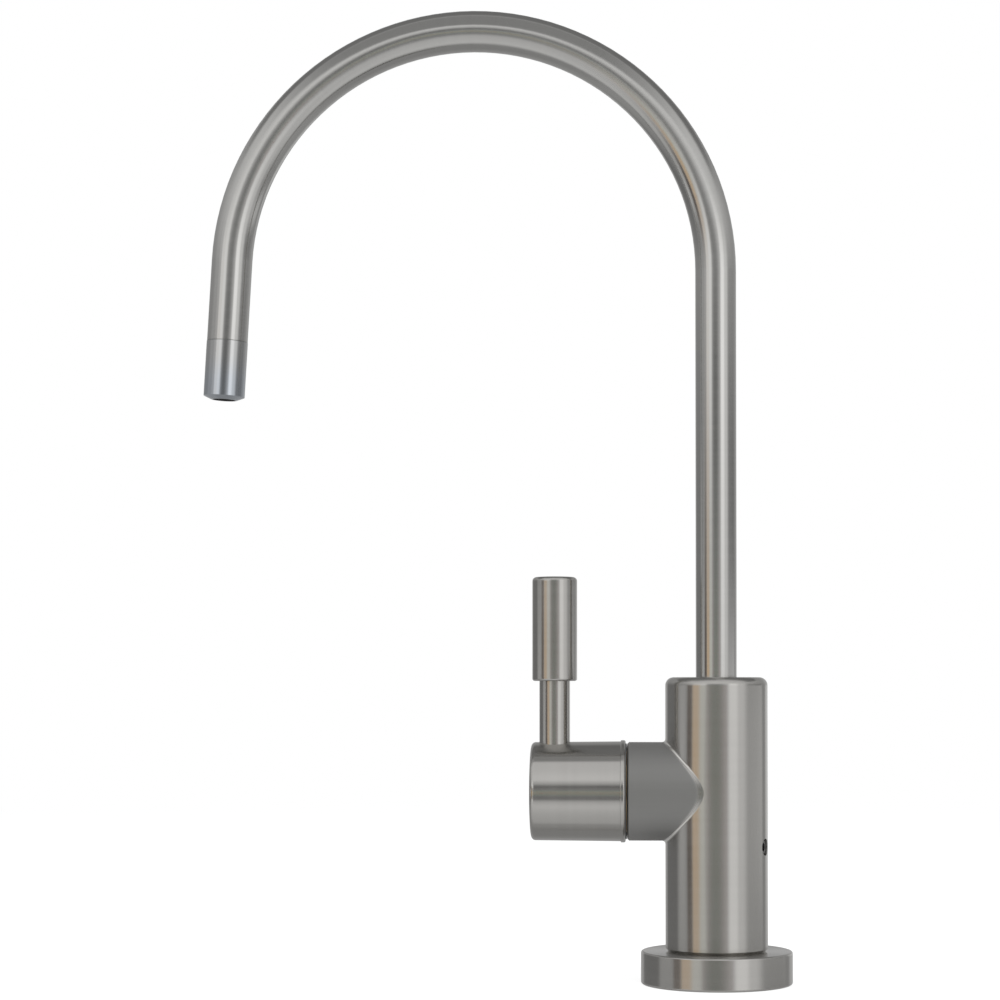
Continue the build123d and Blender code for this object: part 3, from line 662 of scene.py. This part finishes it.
def tip_nickel():
    """Polished, with a cool cast towards the end, and near black and dull inside the outlet as painted
    shade in the bore.
    """
    nodes, shader, material = new_material("tip_nickel")
    place = nodes.object_place()
    end = Vector((-BEND_RADIUS, 0, BEND_HEIGHT))
    end += BEND_RADIUS * Vector((math.cos(BEND_ANGLE), 0, math.sin(BEND_ANGLE)))
    way = Vector((-math.sin(BEND_ANGLE), 0, math.cos(BEND_ANGLE)))
    joint = end + way * DROP_LENGTH
    offset = nodes.vector("SUBTRACT", place, tuple(joint))
    down = nodes.vector("DOT_PRODUCT", offset, tuple(way))
    across = nodes.vector("SUBTRACT", offset, nodes.vector("SCALE", tuple(way), scale=down))
    inside = nodes.ramp(nodes.vector("LENGTH", across), BORE_RADIUS + 0.00012, BORE_RADIUS + 0.00004)
    cool = nodes.ramp(down, *TIP_COOLING)
    colour = nodes.mix_colour(cool, POLISHED, COOL_POLISHED)
    # Painted shade: inside the bore the colour goes near black, and the metal goes dull and not metallic
    nodes.join(nodes.mix_colour(inside, colour, OUTLET_PAINTED_SHADE), shader.inputs["Base Color"])
    nodes.join(nodes.math("SUBTRACT", 1.0, inside), shader.inputs["Metallic"])
    nodes.join(nodes.ramp(inside, 0.0, 1.0, TIP_POLISH, TIP_INSIDE), shader.inputs["Roughness"])
    brush(nodes, shader, along_spout(nodes, place), BRUSHED_TIP)
    return material


def plain_metal(name, colour, roughness):
    nodes, shader, material = new_material(name)
    place = nodes.object_place()
    x, y, z = nodes.separate(place)
    lines = place_group(nodes, brushing, Place=nodes.combine(z, x, y), Spacing=0.0003)
    clouds = place_group(nodes, handling, Place=place, Size=0.006)
    finish_metal(nodes, shader, colour, roughness, lines, clouds, grain=0.04, dull=0.12, height=2e-6)
    return material


def moulded(name, colour, roughness, relief=2e-6, coat=0.0):
    """Plastic, rubber or ceramic."""
    nodes, shader, material = new_material(name)
    place = nodes.object_place()
    clouds = place_group(nodes, handling, Place=place, Size=0.004)
    fine = place_group(nodes, handling, Place=place, Size=0.0005)
    shade = nodes.math("MULTIPLY_ADD", clouds, 0.12, 1.0)
    nodes.join(nodes.vector("SCALE", colour, scale=shade), shader.inputs["Base Color"])
    nodes.join(nodes.math("MULTIPLY_ADD", clouds, 0.15, roughness), shader.inputs["Roughness"])
    add_relief(nodes, shader, fine, 0.4, relief)
    shader.inputs["Coat Weight"].default_value = coat
    return material


def dress(material, *names):
    for name in names:
        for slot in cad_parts[name].material_slots:
            slot.material = material


def make_thread_tree():
    """A V-shaped ridge wound round the piece that carries the modifier."""
    tree = bpy.data.node_groups.new("screw_thread", "GeometryNodeTree")
    for title, kind in (
        ("Geometry", "NodeSocketGeometry"),
        ("Crest Radius", "NodeSocketFloat"),
        ("Pitch", "NodeSocketFloat"),
        ("Length", "NodeSocketFloat"),
        ("Foot", "NodeSocketFloat"),
        ("Material", "NodeSocketMaterial"),
    ):
        tree.interface.new_socket(title, in_out="INPUT", socket_type=kind)
    tree.interface.new_socket("Geometry", in_out="OUTPUT", socket_type="NodeSocketGeometry")
    nodes = Nodes(tree)
    given, result = nodes.add("NodeGroupInput"), nodes.add("NodeGroupOutput")
    ridge_radius = nodes.math("MULTIPLY", given.outputs["Pitch"], RIDGE_WIDTH / math.sqrt(3))
    middle = nodes.math("SUBTRACT", given.outputs["Crest Radius"], ridge_radius)
    spiral = nodes.add("GeometryNodeCurveSpiral")
    spiral.inputs["Resolution"].default_value = 40
    spiral.inputs["Reverse"].default_value = True     # a right-hand thread
    turns = nodes.math("DIVIDE", given.outputs["Length"], given.outputs["Pitch"])
    nodes.join(turns, spiral.inputs["Rotations"])
    nodes.join(middle, spiral.inputs["Start Radius"])
    nodes.join(middle, spiral.inputs["End Radius"])
    nodes.join(given.outputs["Length"], spiral.inputs["Height"])
    level = nodes.add("GeometryNodeSetCurveNormal", mode="Z_UP")
    nodes.join(spiral.outputs[0], level.inputs["Curve"])
    ridge = nodes.add("GeometryNodeCurvePrimitiveCircle")
    ridge.inputs["Resolution"].default_value = 3
    nodes.join(ridge_radius, ridge.inputs["Radius"])
    swept = nodes.add("GeometryNodeCurveToMesh")
    nodes.join(level.outputs[0], swept.inputs["Curve"])
    nodes.join(ridge.outputs[0], swept.inputs["Profile Curve"])
    swept.inputs["Fill Caps"].default_value = True
    placed = nodes.add("GeometryNodeTransform")
    nodes.join(swept.outputs[0], placed.inputs["Geometry"])
    nodes.join(nodes.combine(0.0, 0.0, given.outputs["Foot"]), placed.inputs["Translation"])
    both = nodes.add("GeometryNodeJoinGeometry")
    nodes.join(given.outputs["Geometry"], both.inputs[0])
    nodes.join(placed.outputs[0], both.inputs[0])
    real = nodes.fill("GeometryNodeRealizeInstances", Geometry=both.outputs[0])
    coloured = nodes.fill("GeometryNodeSetMaterial", Geometry=real, Material=given.outputs["Material"])
    nodes.join(coloured, result.inputs[0])
    return tree


def lathe(name, outline, steps):
    """A closed piece turned on the Z axis from its (radius, height) outline."""
    places = []
    for step in range(steps):
        turn = 2 * math.pi * step / steps
        across, back = math.cos(turn), math.sin(turn)
        places += [(radius * across, radius * back, height) for radius, height in outline]
    count = len(outline)
    faces = []
    for step in range(steps):
        here, there = step * count, (step + 1) % steps * count
        for i in range(count):
            j = (i + 1) % count
            faces.append((here + i, there + i, there + j, here + j))
    mesh = bpy.data.meshes.new(name)
    mesh.from_pydata(places, [], faces)
    return mesh


def make_threaded_shank(material):
    """The shank with its real thread, in place of the plain solid."""
    low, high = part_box("threaded_shank")
    foot, top = low[2], high[2]
    root = THREAD_CREST - RIDGE_SHOWN * THREAD_PITCH * RIDGE_WIDTH * math.sqrt(3) / 2
    inwards, endwards = SHANK_CHAMFER
    outline = [
        (root - inwards, foot),
        (root, foot + endwards),
        (root, top - endwards),
        (root - inwards, top),
        (SHANK_BORE, top),
        (SHANK_BORE, foot + SOCKET_DEPTH),
        (SOCKET_RADIUS, foot + SOCKET_DEPTH),
        (SOCKET_RADIUS, foot + CONE_DEPTH),
        (CONE_RADIUS, foot),
    ]
    shank = bpy.data.objects.new("threaded_shank_detail", lathe("threaded_shank_detail", outline, 48))
    scene.collection.objects.link(shank)
    tree = make_thread_tree()
    modifier = shank.modifiers.new("thread", "NODES")
    modifier.node_group = tree
    sizes = {
        "Crest Radius": THREAD_CREST,
        "Pitch": THREAD_PITCH,
        "Length": top - foot - 2 * RIDGE_START,
        "Foot": foot + RIDGE_START,
        "Material": material,
    }
    for item in tree.interface.items_tree:
        if item.in_out == "INPUT" and item.name in sizes:
            modifier[item.identifier] = sizes[item.name]
    shank.update_tag()
    bpy.context.view_layer.update()
    made = bpy.data.meshes.new_from_object(shank.evaluated_get(bpy.context.evaluated_depsgraph_get()))
    shank.modifiers.clear()
    shank.data = made
    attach(shank, "base")
    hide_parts("threaded_shank")


make_camera()
make_world()
make_studio()
make_floor()
make_lamp()

dress(turned_nickel("flange_nickel"), "base_flange")
dress(body_nickel(), "faucet_body")
dress(turned_nickel("lever_nickel", LEVER_PLACE), "lever_stem", "lever_knob")
dress(hub_nickel(), "handle_hub")
dress(tube_nickel(), "spout_tube")
dress(tip_nickel(), "outlet_tip")
dress(
    plain_metal("brass", BRASS, 0.30),
    "supply_nut",
    "spout_ferrule",
    "cartridge_barrel",
    "cartridge_spindle",
    "cartridge_nut",
)
dress(plain_metal("zinc_steel", ZINC_STEEL, 0.38), "mounting_nut", "lock_washer")
dress(plain_metal("dark_steel", DARK_STEEL, 0.35), "body_grub_screw", "spout_snap_ring", "spindle_clip")
dress(
    moulded("black_rubber", RUBBER, 0.75),
    "base_gasket",
    "body_o_ring",
    "shank_seal",
    "spout_o_rings",
    "outlet_o_ring",
    "cartridge_o_ring",
    "cartridge_seat_seal",
    "spindle_o_rings",
)
dress(moulded("white_plastic", WHITE_PLASTIC, 0.45), "supply_sleeve", "spout_guide_ring")
dress(
    moulded("black_plastic", BLACK_PLASTIC, 0.5, 6e-6),
    "clamp_washer",
    "hub_glide_ring",
    "flow_straightener",
)
dress(moulded("valve_ceramic", CERAMIC, 0.25, 5e-7, 0.4), "fixed_disc", "moving_disc")
make_threaded_shank(plain_metal("plated_brass", PLATED_BRASS, 0.28))
